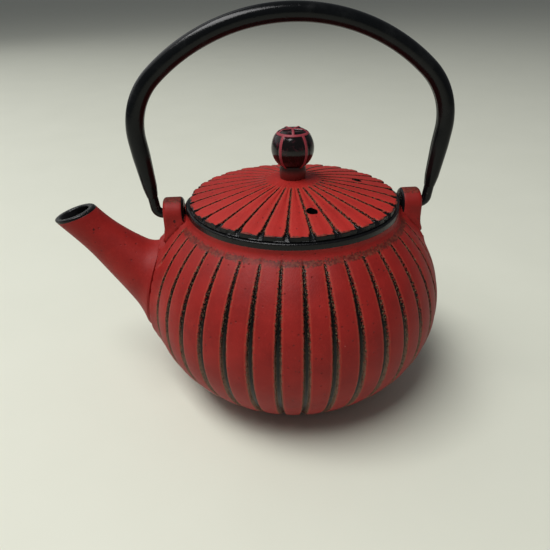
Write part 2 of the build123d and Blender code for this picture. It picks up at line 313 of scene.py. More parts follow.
def spout_point(share, around, inset=0.0):
    """A point on the spout: its centre at share of the way, plus the radius turned about the centre line."""
    here = smooth_curve(SPOUT, share)
    ahead = smooth_curve(SPOUT, share + 0.01) - smooth_curve(SPOUT, share - 0.01)
    along = ahead[..., :2] / np.linalg.norm(ahead[..., :2], axis=-1, keepdims=True)
    radius = here[..., 2] - inset
    out = radius * np.cos(around)
    return np.stack([-here[..., 0] + out * along[..., 1], radius * np.sin(around),
                     here[..., 1] + out * along[..., 0]], axis=-1)


def spout_distance(points):
    """How far points are outside the spout: to the nearest of many balls along its centre line."""
    stations = smooth_curve(SPOUT, np.linspace(0, 1, 50))
    near = np.full(points.shape[:-1], np.inf)
    for reach, height, radius in stations:
        gap = np.linalg.norm(points - np.array([-reach, 0, height]), axis=-1) - radius
        near = np.minimum(near, gap)
    return near


COLUMNS = 96
around_spout = np.arange(COLUMNS) * 2 * math.pi / COLUMNS


def crossing(height_of):
    """For each line round the spout, the share at which height_of(share, around) passes through zero."""
    share = np.linspace(0, 1, 240)[:, None]
    value = height_of(share, around_spout[None, :])
    last = value.shape[0] - 2 - np.argmax((value[:-1] <= 0)[::-1], axis=0)
    column = np.arange(COLUMNS)
    low, high = value[last, column], value[last + 1, column]
    return share[last, 0] + (share[1, 0] - share[0, 0]) * (-low) / (high - low)


def spout_shares(inset, below, rows):
    """Shares of the way along the spout for rows of points on the tube moved in by inset: from the middle of
    the belly's wall to the mouth's plane moved down by below."""
    base = crossing(lambda share, around: belly_distance(spout_point(share, around, inset)) + WALL / 2)
    mouth = crossing(lambda share, around: (spout_point(share, around, inset) - POUR) @ POUR_NORMAL + below)
    return base + (mouth - base) * np.linspace(0, 1, rows)[:, None]


# %% [markdown]
# Where two walls of a casting meet, the pattern maker leaves a fillet. A point that is a distance
# b from the other wall moves out by (sqrt(k) - sqrt(b)) squared. At b = k that is nothing, and at
# a quarter of k both walls have moved out by the same amount, so they meet as one smooth hollow.

# %% Fillets between the walls


def fillet_growth(gap, size):
    """How far a wall moves out at a gap from the other wall, for a fillet that starts size away."""
    gap = np.clip(gap, 0, size)
    grown = (np.sqrt(size) - np.sqrt(np.maximum(gap, size / 4))) ** 2
    return np.minimum(grown, gap + size / 16)


def grid_normals(grid, outward_from):
    """Unit normals of a grid whose columns form a ring, turned away from the point outward_from."""
    down = np.gradient(grid, axis=0)
    across = np.roll(grid, -1, axis=1) - np.roll(grid, 1, axis=1)
    normal = np.cross(across, down)
    normal /= np.maximum(np.linalg.norm(normal, axis=-1, keepdims=True), 1e-9)
    facing = np.sign(np.einsum("ijk,ijk->ij", normal, grid - outward_from))
    return normal * facing[..., None]


LUG_INNER, LUG_THICK, LUG_RADIUS, LUG_ROOT = 44.4, 8.2, 6.4, 14.0
SPOUT_FILLET, LUG_FILLET = 7.0, 4.5


def lug_distance(points):
    """How far points are outside either lug, measured level: a lug is a block that reaches down into the
    shoulder, and points below it are at no distance that matters."""
    past_face = np.abs(np.abs(points[..., 0]) - LUG_INNER - LUG_THICK / 2) - LUG_THICK / 2
    past_side = np.abs(points[..., 1]) - LUG_RADIUS
    outside = np.hypot(np.maximum(past_face, 0), np.maximum(past_side, 0))
    high_enough = points[..., 2] > HINGE - LUG_ROOT - 6
    return np.where(high_enough, outside, np.inf)


# %% [markdown]
# Across one rib and groove the columns stand at chosen places: crowded on the groove's steep
# sides, and further apart over the rib. The depth at each place is a share of the groove's full
# depth, so one small table describes the cut of the pattern maker's tool.

# %% Grooves
RIBS = 38
RIB_PHASE = math.radians(-91.2)
CUT_PLACE = np.array([0, 0.42, 0.68, 0.84, 0.96, 1.12, 1.45])   # from the groove's middle, in half widths
CUT_DEPTH = np.array([1, 0.97, 0.86, 0.55, 0.22, 0.06, 0.0])    # share of the full depth there
RIB_STEPS = np.array([0.35, 0.7, 1.0])                          # the rest of the way to the rib's middle


def rib_columns(radius, half_width, phase, count):
    """Columns of a grid with count grooves. For each row, given its radius and the grooves' half width there,
    returns the columns' angles, their distances from a groove's middle as a share of half the pitch, and the
    share of the groove's depth at each."""
    half_pitch = math.pi * radius / count
    near = CUT_PLACE * np.minimum(half_width, 0.6 * half_pitch)[:, None]
    far = near[:, -1:] + (half_pitch[:, None] - near[:, -1:]) * RIB_STEPS
    half = np.hstack([near, far])
    places = np.hstack([-half[:, -2:0:-1], half])
    depth = np.concatenate([CUT_DEPTH, np.zeros(len(RIB_STEPS))])
    middles = phase + np.arange(count) * 2 * math.pi / count
    angles = (middles[None, :, None] + (places / radius[:, None])[:, None, :]).reshape(len(radius), -1)
    shares = np.tile(places / half_pitch[:, None], count)
    return angles, shares, np.tile(np.concatenate([depth[-2:0:-1], depth]), count)


def groove_reach(points, phase, count, along, table):
    """How far each point lies inside the nearest groove's edge, in millimetres, negative outside: the
    groove's half width there, less the arc from the point to the groove's middle line."""
    pitch = 2 * math.pi / count
    angle = (np.arctan2(points[:, 1], points[:, 0]) - phase + pitch / 2) % pitch - pitch / 2
    return np.interp(along, table[:, 0], table[:, 1]) - np.abs(angle) * np.hypot(points[:, 0], points[:, 1])


# height, groove half width, groove depth
GROOVE = np.array([(2.6, 0.6, 0.0), (5.0, 1.0, 0.9), (12.0, 1.15, 1.3), (30.0, 1.2, 1.2),
                   (48.0, 1.1, 1.1), (60.0, 0.85, 1.0), (70.0, 0.55, 0.7), (75.6, 0.38, 0.4),
                   (76.4, 0.35, 0.0)])
radius, height = outline.T
half_width, depth = (np.interp(height, GROOVE[:, 0], GROOVE[:, k]) for k in (1, 2))
angles, rib_share, cuts = rib_columns(np.maximum(radius, 5), half_width, RIB_PHASE, RIBS)
print("belly grid", angles.shape)

# %% The ribbed belly
belly = np.stack([radius[:, None] * np.cos(angles), radius[:, None] * np.sin(angles),
                  np.broadcast_to(height[:, None], angles.shape)], axis=-1)
outward = grid_normals(belly, np.array([0, 0, BELLY_HEIGHT]))
spout_gap, lug_gap = spout_distance(belly), lug_distance(belly)
fade = smoothstep(spout_gap, 0.5, 5.5) * smoothstep(lug_gap, 0.5, 4.0)
RIB_TOP, RIB_CROWN, RIB_LEDGE, UNEVEN = 76.0, 0.24, 0.28, 0.10
past_ribs = smoothstep(height, RIB_TOP, RIB_TOP + 0.6)
on_ribs = smoothstep(height, 2.6, 6.0) * (1 - past_ribs)
sunk = depth[:, None] * cuts * fade + RIB_CROWN * on_ribs[:, None] * (1 - np.abs(rib_share)) ** 2
sunk += RIB_LEDGE * (past_ribs * (1 - smoothstep(height, RIB_TOP + 2, RIB_TOP + 4)))[:, None]
sunk += UNEVEN * (1 + wobble(angles, height[:, None], 0.5, seed=4)) * smoothstep(height, 6.0, 12.0)[:, None]
sunk *= (height > 2.3)[:, None] * (height < 82.0)[:, None]
grown = fillet_growth(spout_gap, SPOUT_FILLET) + fillet_growth(lug_gap, LUG_FILLET) * (height > 60)[:, None]
belly = belly + outward * (grown - sunk)[..., None]
belly_shell = surface("belly_shell", belly, first=(0, 0, FOOT_HEIGHT), last=(0, 0, COLLAR_TOP))
report(belly_shell)

# %% [markdown]
# The spout's wall is a closed tube: out along the outside, over the rounded lip, and back down
# the bore. Its foot flares out to meet the belly's fillet.

# %% The spout
LIP = 0.9                        # the lip's rounding starts this far below the mouth's plane


def spout_rows(share, inset):
    """Rows of points on the tube moved in by inset, one row for each row of shares."""
    return spout_point(share, np.broadcast_to(around_spout, (len(share), COLUMNS)), inset)


outside_share = spout_shares(0.0, LIP, 56)
outside = spout_rows(outside_share, 0.0)
away = outside - spout_rows(outside_share, 5.0)
away /= np.linalg.norm(away, axis=-1, keepdims=True)
outside = outside + away * fillet_growth(belly_distance(outside), SPOUT_FILLET)[..., None]
inside = spout_rows(spout_shares(SPOUT_WALL, LIP, 36), SPOUT_WALL)[::-1]
outer_corner, inner_corner = (spout_rows(spout_shares(inset, 0.0, 2), inset)[-1]
                              for inset in (0.0, SPOUT_WALL))
bend = np.linspace(0.2, 1, 5)[:, None, None]
outer_flat = outer_corner + (inner_corner - outer_corner) * 0.42
inner_flat = outer_corner + (inner_corner - outer_corner) * 0.60
lip_out = (1 - bend) ** 2 * outside[-1] + 2 * bend * (1 - bend) * outer_corner + bend ** 2 * outer_flat
lip_in = (1 - bend) ** 2 * inner_flat + 2 * bend * (1 - bend) * inner_corner + bend ** 2 * inside[0]
spout_tube = surface("spout_tube", np.vstack([outside, lip_out, lip_in, inside[1:]]), loop=True)
report(spout_tube)

# the core that leaves the way from the belly into the spout
core = spout_rows(np.linspace(0, 0.42, 16)[:, None], SPOUT_WALL + 0.15)
spout_core = surface("spout_core", core, first=core[0].mean(0), last=core[-1].mean(0))

# %% [markdown]
# A lug is a block with a round top, drilled for the bail's hook. Its outline is carried across
# its thickness and drawn in near each face, which rounds the edges as the sand left them.

# %% The lugs


LUG_EDGE = 1.5                   # rounding of a lug's edges


def lug_outline(inset):
    """The outline of a lug in Y and Z, moved in by inset: a half circle on two straight sides."""
    size = LUG_RADIUS - inset
    turn = np.linspace(0, math.pi, 33)
    arch = np.stack([size * np.cos(turn), HINGE + size * np.sin(turn)], axis=-1)
    sides = np.linspace(0, 1, 15)[1:, None]
    down = arch[-1] + sides * np.array([0, -LUG_ROOT])
    bottom = down[-1] + np.linspace(0, 1, 5)[1:-1, None] * np.array([2 * size, 0])
    up = down[::-1] * np.array([-1, 1])
    return np.vstack([arch, down, bottom, up[:-1]])


def lug_shell(side):
    """A lug as rows of its outline from the inner face, round both edges, to the outer face."""
    turn = np.linspace(0, math.pi / 2, 6)
    near = [(0.0, 4.2), (0.0, 2.6)]
    near += [(LUG_EDGE * (1 - math.cos(a)), LUG_EDGE * (1 - math.sin(a))) for a in turn]
    middle = [(LUG_THICK * share, 0.0) for share in (0.3, 0.42, 0.58, 0.7)]
    rows = near + middle + [(LUG_THICK - across, inset) for across, inset in near[::-1]]
    outlines = [(across, lug_outline(inset)) for across, inset in rows]
    grid = np.array([np.column_stack([np.full(len(line), LUG_INNER + across), line])
                     for across, line in outlines])
    away = grid_normals(grid, np.array([LUG_INNER + LUG_THICK / 2, 0, HINGE - LUG_ROOT / 2]))
    away[..., 2] = 0
    grown = fillet_growth(belly_distance(grid), LUG_FILLET)
    grid = grid + away * grown[..., None] * (np.abs(grid[..., 2:] - HINGE) < LUG_ROOT - 0.5)
    poles = [np.array([LUG_INNER, 0, HINGE - 3]), np.array([LUG_INNER + LUG_THICK, 0, HINGE - 3])]
    if side < 0:
        grid, poles = grid * np.array([-1, 1, 1]), [pole * np.array([-1, 1, 1]) for pole in poles]
    return surface("lug", grid, first=poles[0], last=poles[1])


def cylinder(name, radius, start, end, steps=48):
    """A plain closed cylinder between two points, used as a drill."""
    start, end = np.asarray(start, float), np.asarray(end, float)
    along = (end - start) / np.linalg.norm(end - start)
    side = np.cross(along, (0, 1, 0.3))
    side /= np.linalg.norm(side)
    turn = np.arange(steps) * 2 * math.pi / steps
    ring = radius * (np.cos(turn)[:, None] * side + np.sin(turn)[:, None] * np.cross(along, side))
    return surface(name, np.stack([start + ring, end + ring]), first=start, last=end)


HOOK_HOLE = 2.08
drills = [cylinder("drill", HOOK_HOLE, (side * (LUG_INNER - 0.6), 0, HINGE),
                   (side * (LUG_INNER + LUG_THICK + 2), 0, HINGE)) for side in (-1, 1)]

# %% [markdown]
# The hollow follows the outside at the thickness of the iron. Its mouth has a step that carries
# the basket's flange. Joining and cutting the closed shells gives the finished casting.

# %% The hollow, and the finished casting
MOUTH, SEAT_RADIUS, SEAT_DEPTH, LAND, FLOOR = 34.0, 37.6, 1.6, 3.9, 6.0
cavity_top = COLLAR_TOP - SEAT_DEPTH - LAND
seat = COLLAR_TOP - SEAT_DEPTH
inner_arc = belly_arc(FLOOR + 3.5, cavity_top - WALL / 2, 44, inset=WALL)
bottom = refined(rounded([(6, FLOOR), (belly_radius(FLOOR, WALL) - 0.5, FLOOR), inner_arc[0]], [4.0]), 6.0)
top = refined(rounded([inner_arc[-1], (MOUTH, cavity_top), (MOUTH, seat), (SEAT_RADIUS, seat),
                       (SEAT_RADIUS, COLLAR_TOP + 1)], [1.0, 0.5, 0.4]), 2.0)
hollow = turned(np.vstack([bottom[:-1], inner_arc, top[1:]]), np.arange(128) * 2 * math.pi / 128)
hollow_shell = surface("hollow_shell", hollow, first=(0, 0, FLOOR), last=(0, 0, COLLAR_TOP + 1))
pot = combined("pot_body", belly_shell, [
    ("DIFFERENCE", hollow_shell), ("DIFFERENCE", spout_core), ("UNION", spout_tube),
    ("UNION", lug_shell(-1)), ("UNION", lug_shell(1)),
    ("DIFFERENCE", drills[0]), ("DIFFERENCE", drills[1])])
report(pot)

# %% [markdown]
# The materials need to know where a point lies: how far it is inside a groove's edge, or outside
# it as a negative number, whether it is in the pot or on the black collar, and whether it is on a
# worn edge. These are worked out from the finished vertices and kept as attributes, so that paint
# follows the iron whatever the pose.

# %% What the pot's finish needs to know
FAR = 2.5                        # the groove value stops here, in millimetres
points = vertices_of(pot)
across = np.hypot(points[:, 0], points[:, 1])
spout_gap, lug_gap = spout_distance(points), lug_distance(points)
below_skin = -belly_distance(points) - RIB_CROWN * 0.5 - UNEVEN
in_groove = groove_reach(points, RIB_PHASE, RIBS, points[:, 2], GROOVE)
in_groove -= 3 * (1 - smoothstep(spout_gap, 0.8, 4.6) * smoothstep(lug_gap, 0.5, 3.0))
in_groove -= FAR * np.clip(points[:, 2] - RIB_TOP, 0, 1) + FAR * np.clip(5.0 - points[:, 2], 0, 1)
in_groove = np.clip(in_groove, -FAR, FAR)
inside_pot = smoothstep(below_skin, 1.7, 2.2) * (spout_gap > 0.2)
in_bore = smoothstep(-spout_gap, 1.2, 1.6)
at_lip = smoothstep((points - POUR) @ POUR_NORMAL, -1.4, -0.7) * (points[:, 0] < -70)
on_collar = smoothstep(points[:, 2], 80.2, 80.9) * (across < COLLAR + 0.6)
past_inner = np.abs(points[:, 0]) - LUG_INNER    # beyond the plane of the lugs' inner faces
beside_collar = (points[:, 2] > RIB_TOP) * (np.abs(past_inner) < 0.9) * (lug_gap < 0.4)
in_hole = np.hypot(points[:, 1], points[:, 2] - HINGE) < HOOK_HOLE + 0.3
in_hole = in_hole * (past_inner > -1) * (past_inner < LUG_THICK + 1)
black = np.max([inside_pot, in_bore, at_lip, on_collar, beside_collar * 0.9, in_hole * 1.0], axis=0)
lug_crown = smoothstep(points[:, 2], HINGE + 4.0, HINGE + 6.2) * (lug_gap < 0.5)
ledge = np.exp(-((points[:, 2] - 76.3) / 0.9) ** 2) * (inside_pot < 0.5) * smoothstep(lug_gap, 1, 4)
ledge = ledge * smoothstep(spout_gap, 1, 4)
keep_values(pot, groove=in_groove, black=black, wear=np.clip(lug_crown * 0.8 + ledge, 0, 1))
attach(pot, "pot")
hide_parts("pot_casting", "spout", "lug_right", "lug_left")

# %% [markdown]
# The lid is a shallow cone with a slightly swelling side. Twenty-nine grooves spread from the
# hub and end in small round notches at the rim. The same table of column places serves again;
# only the widths and depths differ.

# %% The lid
LID_RIBS = 29
LID_PHASE = math.radians(-86.3)
LID_EDGE, LID_WALL, HUB_RADIUS, SCREW_HOLE = 2.0, 2.6, 6.5, 2.05
BOSS_RADIUS, BOSS_DEPTH, SKIRT, SKIRT_WALL = 7.5, 2.0, 31.9, 2.0
LID_BOTTOM = COLLAR_TOP + 0.1
LID_SHOULDER = LID_BOTTOM + LID_EDGE
VENTS, VENT_RING, VENT = (-81.1, 8.9), 27.5, 2.0


def lid_surface_height(radius):
    """Height of the lid's face: the hub's height, less a drop that grows as the radius to the power one and
    a half."""
    return LID_SHOULDER + (HUB - LID_SHOULDER) * (1 - (radius / LID) ** 1.5)


face = np.linspace(HUB_RADIUS, LID - 0.05, 46)
face = np.stack([face, lid_surface_height(face)], axis=-1)
under = np.linspace(SKIRT - SKIRT_WALL, BOSS_RADIUS, 12)
under = np.stack([under, lid_surface_height(under) - LID_WALL], axis=-1)
edge = rounded([face[-2], (LID, LID_SHOULDER), (LID, LID_BOTTOM), (SKIRT, LID_BOTTOM), (SKIRT, lid_low[2]),
                (SKIRT - SKIRT_WALL, lid_low[2]), under[0], under[1]], [0.5, 0.4, 0.4, 0.5, 0.5, 1.2])
boss_end = HUB - LID_WALL - BOSS_DEPTH
boss = rounded([under[-2], (BOSS_RADIUS, under[-1][1]), (BOSS_RADIUS, boss_end), (SCREW_HOLE, boss_end)],
               [0.6, 0.3], steps=4)
lid_outline = np.vstack([[(SCREW_HOLE, HUB), (4.0, HUB)], face[:-2], refined(edge, 3.0), under[2:-2], boss])

# distance from the axis, groove half width, groove depth
LID_GROOVE = np.array([(8.5, 0.15, 0.0), (11.0, 0.2, 0.25), (20.0, 0.27, 0.5), (30.0, 0.38, 0.7),
                       (37.5, 0.5, 0.85), (39.2, 0.6, 0.95), (40.4, 1.15, 1.2), (42.0, 1.2, 1.15)])
radius, height = lid_outline.T
outer_face = (np.arange(len(radius)) < np.argmax(height < LID_BOTTOM + 0.3))
half_width, depth = (np.interp(radius, LID_GROOVE[:, 0], LID_GROOVE[:, k]) for k in (1, 2))
edge_fade = np.where(height < LID_SHOULDER - 0.3, smoothstep(height, LID_BOTTOM, LID_SHOULDER), 1)
depth = depth * outer_face * edge_fade
angles, rib_share, cuts = rib_columns(radius, half_width, LID_PHASE, LID_RIBS)
slope = np.gradient(lid_outline, axis=0)
normal = np.stack([slope[:, 1], -slope[:, 0]], axis=-1) / np.linalg.norm(slope, axis=1, keepdims=True)
normal *= np.where(outer_face, np.sign(normal[:, 0] + normal[:, 1] + 1e-6), 0)[:, None]
past_hub = (smoothstep(radius, 8, 14) * outer_face)[:, None]
lid_sunk = depth[:, None] * cuts + 0.10 * past_hub * (1 - rib_share) ** 2
lid_sunk += (0.06 + wobble(angles, 2 * radius[:, None], 0.05, seed=8)) * past_hub
in_radius = radius[:, None] - lid_sunk * normal[:, :1]
lid_grid = np.stack([in_radius * np.cos(angles), in_radius * np.sin(angles),
                     height[:, None] - lid_sunk * normal[:, 1:]], axis=-1)
lid_shell = surface("lid_shell", lid_grid, loop=True)
report(lid_shell)
vent_places = [VENT_RING * np.array([math.cos(turn), math.sin(turn)]) for turn in np.radians(VENTS)]
lid = combined("lid_casting", lid_shell, [
    ("DIFFERENCE", cylinder("vent_drill", VENT, (*spot, LID_BOTTOM), (*spot, HUB + 2)))
    for spot in vent_places])
report(lid)

points = vertices_of(lid)
across = np.hypot(points[:, 0], points[:, 1])
down = lid_surface_height(np.minimum(across, LID)) - points[:, 2]
lid_groove = groove_reach(points, LID_PHASE, LID_RIBS, across, LID_GROOVE)
lid_groove = np.clip(lid_groove - FAR * np.clip(10.5 - across, 0, 1), -FAR, FAR)
lid_black = np.maximum(smoothstep(LID_SHOULDER + 0.05 - points[:, 2], 0, 0.35), down > 1.9)
keep_values(lid, groove=lid_groove, black=lid_black, wear=smoothstep(across, LID - 1.6, LID - 0.2))
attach(lid, "lid")
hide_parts("lid")

# %% [markdown]
# The knob is a small casting of its own: a drum-shaped neck and a ball with five raised ribs,
# a raised ring near the top and five spokes inside it. The ribs are ridges added to the ball's
# radius, each the shape of a flattened bell curve across its line.

# %% The knob
BALL, RAISED = 8.4, 0.24
BALL_HEIGHT = HUB + 11.7
KNOB_PHASE = math.radians(-93.5)
polar = np.linspace(0.02, math.pi - math.asin(5.0 / BALL), 70)
turn = np.arange(200) * 2 * math.pi / 200


def ridge(distance, half_width):
    """A raised line: 1 on it, falling to 0 past half_width, flat on top."""
    return np.exp(-np.abs(distance / half_width) ** 3)


def nearest_of_five(angle, offset):
    """Angle to the nearest of five equal divisions."""
    step = 2 * math.pi / 5
    return np.abs((angle - offset + step / 2) % step - step / 2)


tilt, around = np.meshgrid(polar, turn, indexing="ij")
from_rib = BALL * np.sin(tilt) * nearest_of_five(around, KNOB_PHASE + math.pi / 5)
from_spoke = BALL * np.sin(tilt) * nearest_of_five(around, KNOB_PHASE)
ring_tilt = math.asin(5.9 / BALL)
ribs = ridge(from_rib, 0.75) * smoothstep(tilt, ring_tilt - 0.05, ring_tilt + 0.05)
spokes = ridge(from_spoke, 0.6) * (1 - smoothstep(tilt, ring_tilt - 0.05, ring_tilt + 0.05))
ring = ridge(BALL * (tilt - ring_tilt), 0.65)
button = ridge(BALL * tilt, 1.1)
raised = np.max([ribs, spokes, ring, button], axis=0)
ball = BALL + 0.26 - RAISED * (1 - raised)
planed = KNOB_TOP - BALL_HEIGHT - 0.5 * (1 - raised)
ball_points = np.stack([ball * np.sin(tilt) * np.cos(around), ball * np.sin(tilt) * np.sin(around),
                        BALL_HEIGHT + np.minimum(ball * np.cos(tilt), planed)], axis=-1)
neck_top = ball_points[-1, 0, 2]
rise = np.linspace(neck_top - 0.4, HUB, 12)
bulge = 5.05 + 0.25 * np.sin(np.linspace(0, math.pi, 12))
neck = np.stack([bulge, rise], axis=-1)
neck = np.vstack([neck, [(3.4, HUB), (SCREW_HOLE, HUB), (SCREW_HOLE, HUB + 9)]])
knob_grid = np.vstack([ball_points, turned(neck, turn)])
knob = surface("knob_ball", knob_grid, first=(0, 0, KNOB_TOP), last=(0, 0, HUB + 9), sharp=50)
keep_values(knob, raised=np.concatenate([raised.ravel(), np.full(len(neck) * len(turn), -1.0), [1.0, -1.0]]))
report(knob)
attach(knob, "lid")
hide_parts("knob")

# %% [markdown]
# The bail is steel sheet rolled into a tube, bent to a long crown arc with two tighter shoulders,
# swaged thin at each end. A wire hook is pressed into each end. Both are round sections carried
# along a path of straight runs and arcs, so one function makes the tube and the hooks.

# %% The bail's path
CROWN, SHOULDER_BEND, LEAN = 75.0, 27.0, math.radians(7.4)
BAIL_HEIGHT, TIP_RADIUS, TIP_CLOSE = 72.8, 2.6, 4.5
HOOK_RADIUS, HOOK_BEND, TIP, TAPER, GRIP, TIP_GAP = 2.0, 3.0, 7.0, 17.0, 7.0, 0.06
leg_way = np.array([math.sin(LEAN), math.cos(LEAN)])
leg_out = np.array([math.cos(LEAN), -math.sin(LEAN)])
hook_tangent = HOOK_BEND * math.tan((math.pi / 2 - LEAN) / 2)
hook_corner = np.array([LUG_INNER + LUG_THICK + 0.3 + hook_tangent, HINGE])
crown_middle = np.array([0, HINGE + BAIL_HEIGHT - CROWN])
offset = hook_corner - leg_out * SHOULDER_BEND - crown_middle
along = offset @ leg_way
leg_length = -along + math.sqrt(along ** 2 - offset @ offset + (CROWN - SHOULDER_BEND) ** 2)
leg_top = hook_corner + leg_way * leg_length
shoulder_middle = leg_top - leg_out * SHOULDER_BEND


def arc_points(middle, start, end, steps):
    """Points on an arc about middle from start to end, the short way round."""
    a, b = (math.atan2(*(point - middle)[::-1]) for point in (start, end))
    angle = np.linspace(a, b, steps)
    return middle + np.linalg.norm(start - middle) * np.stack([np.cos(angle), np.sin(angle)], axis=-1)


crown_join = crown_middle + (shoulder_middle - crown_middle) * CROWN / (CROWN - SHOULDER_BEND)
tip = hook_corner + leg_way * TIP
leg_share = np.concatenate([[0, 0.012, 0.025, 0.05, 0.09], np.linspace(0.14, 1, 16)])
leg = tip + (leg_top - tip) * leg_share[:, None]
half_path = np.vstack([leg[:-1], arc_points(shoulder_middle, leg_top, crown_join, 24)[:-1],
                       arc_points(crown_middle, crown_join, crown_middle + np.array([0, CROWN]), 30)])
bail_path = np.vstack([half_path, (half_path * [-1, 1])[-2::-1]])


def rod(path, radii, around, dent=0.0):
    """Round sections carried along a path in the XZ plane: the centre, plus the radius turned from the path's
    side towards Y."""
    way = np.gradient(path, axis=0)
    way /= np.linalg.norm(way, axis=1, keepdims=True)
    side = np.stack([way[:, 1], -way[:, 0]], axis=-1)
    reach = (radii[:, None] - dent) * np.ones_like(around)
    return np.stack([path[:, :1] + side[:, :1] * reach * np.cos(around), reach * np.sin(around),
                     path[:, 1:] + side[:, 1:] * reach * np.cos(around)], axis=-1)


around = np.arange(48) * 2 * math.pi / 48
along_tube = np.concatenate([[0], np.cumsum(np.linalg.norm(np.diff(bail_path, axis=0), axis=1))])
from_tip = np.minimum(along_tube, along_tube[-1] - along_tube)
tube_radius = np.interp(from_tip, [0, TAPER], [TIP_RADIUS, BAIL_RADIUS])
closing = np.clip(from_tip / TIP_CLOSE, 0, 1) ** 0.55
tube_radius = HOOK_RADIUS + TIP_GAP + (tube_radius - HOOK_RADIUS - TIP_GAP) * closing
SEAM_DEPTH, SEAM_HALF = 0.28, 0.45
inner_side = np.angle(np.exp(1j * (around - math.pi)))
seam = SEAM_DEPTH * np.exp(-(inner_side[None, :] * tube_radius[:, None] / SEAM_HALF) ** 2)
uneven = 0.04 + wobble(np.zeros((len(bail_path), 1)), along_tube[:, None] * 1.3, 0.035, seed=3)
tube = rod(bail_path, tube_radius, around, dent=seam + uneven)


def cup(ring, end, side):
    """Rows that turn a tube's end inwards to the hook's hole and a little way down it."""
    centre = np.array([end[0], 0, end[1]])
    inward = (ring - centre) / np.linalg.norm(ring - centre, axis=-1, keepdims=True)
    mouth = centre + inward * (HOOK_RADIUS + 0.02)
    return np.stack([mouth, mouth + 3 * np.array([side * leg_way[0], 0, leg_way[1]])])


start_cup, end_cup = cup(tube[0], bail_path[0], 1)[::-1], cup(tube[-1], bail_path[-1], -1)
bail = surface("bail_handle", np.vstack([start_cup, tube, end_cup]),
               first=start_cup[0].mean(0), last=end_cup[-1].mean(0))
report(bail)
keep_values(bail, tip=smoothstep(12 - np.abs(vertices_of(bail)[:, 2] - HINGE), 0, 10))
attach(bail, "bail")
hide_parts("bail_tube")

# %% The hooks
hook_top = tip + leg_way * GRIP
bend_start, bend_end = hook_corner + leg_way * hook_tangent, hook_corner - np.array([hook_tangent, 0])
bend_middle = bend_end + np.array([0, HOOK_BEND])
hook_end, END_ROUND = np.array([LUG_INNER - 0.4, HINGE]), 0.9
ball_end = np.linspace(0, math.pi / 2, 6)[1:-1]
run_in = bend_end + (hook_end + np.array([END_ROUND, 0]) - bend_end) * np.linspace(0, 1, 8)[:, None]
tip_run = hook_end + np.stack([END_ROUND * (1 - np.sin(ball_end)), 0 * ball_end], axis=-1)
hook_path = np.vstack([hook_top + (bend_start - hook_top) * np.linspace(0, 1, 8)[:-1, None],
                       arc_points(bend_middle, bend_start, bend_end, 12)[:-1], run_in, tip_run])
hook_radii = np.concatenate([np.full(len(hook_path) - len(ball_end), HOOK_RADIUS),
                             HOOK_RADIUS - END_ROUND * (1 - np.cos(ball_end))])
hooks = []
for side, name in ((1, "right"), (-1, "left")):
    grid = rod(hook_path, hook_radii, around) * np.array([side, 1, 1])
    last = np.array([side * hook_end[0], 0, HINGE])
    hook = surface(f"hook_{name}", grid, first=grid[0].mean(0), last=last)
    keep_values(hook, tip=np.ones(len(hook.data.vertices)))
    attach(hook, "bail")
    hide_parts(f"bail_hook_{name}")
    hooks.append(hook)
    report(hook)

# %% [markdown]
# The basket for the leaves is pressed from thin stainless sheet. Its flange and its band are
# plain rings, each a closed outline turned about the axis. The wall and the floor are punched
# with small holes. A hole could be cut by a boolean, but hundreds of cuts are slow, so the sheet
# is woven from square cells instead: each has eight points on its border, which it shares with
# its neighbours, and eight on its hole, with a ring of eight faces between them.

# %% The basket's flange and band
SHEET, RING_COLUMNS = 0.5, 160
TURN = np.arange(RING_COLUMNS) * 2 * math.pi / RING_COLUMNS
BASKET = band_high[0]
MESH = BASKET - SHEET
FLANGE, FLANGE_TOP = rim_high[0], rim_high[2]


def turned_ring(name, corners, radii):
    """A closed outline with rounded corners, turned about the axis: the last row joins the first."""
    outline = rounded([corners[-1]] + corners + [corners[0]], radii, steps=4)[1:-1]
    return surface(name, turned(outline, TURN), loop=True, sharp=60)


flange = turned_ring("infuser_flange", [
    (BASKET, rim_low[2]), (BASKET, FLANGE_TOP - SHEET), (FLANGE, FLANGE_TOP - SHEET),
    (FLANGE, FLANGE_TOP), (MESH, FLANGE_TOP), (MESH, rim_low[2])], [0.12, 0.3, 0.2, 0.2, 0.6, 0.12])
band = turned_ring("infuser_hem", [
    (BASKET, band_low[2]), (BASKET, band_high[2]), (MESH, band_high[2]), (MESH, band_low[2])],
    [0.2, 0.12, 0.12, 0.12])

# %% Punched sheet


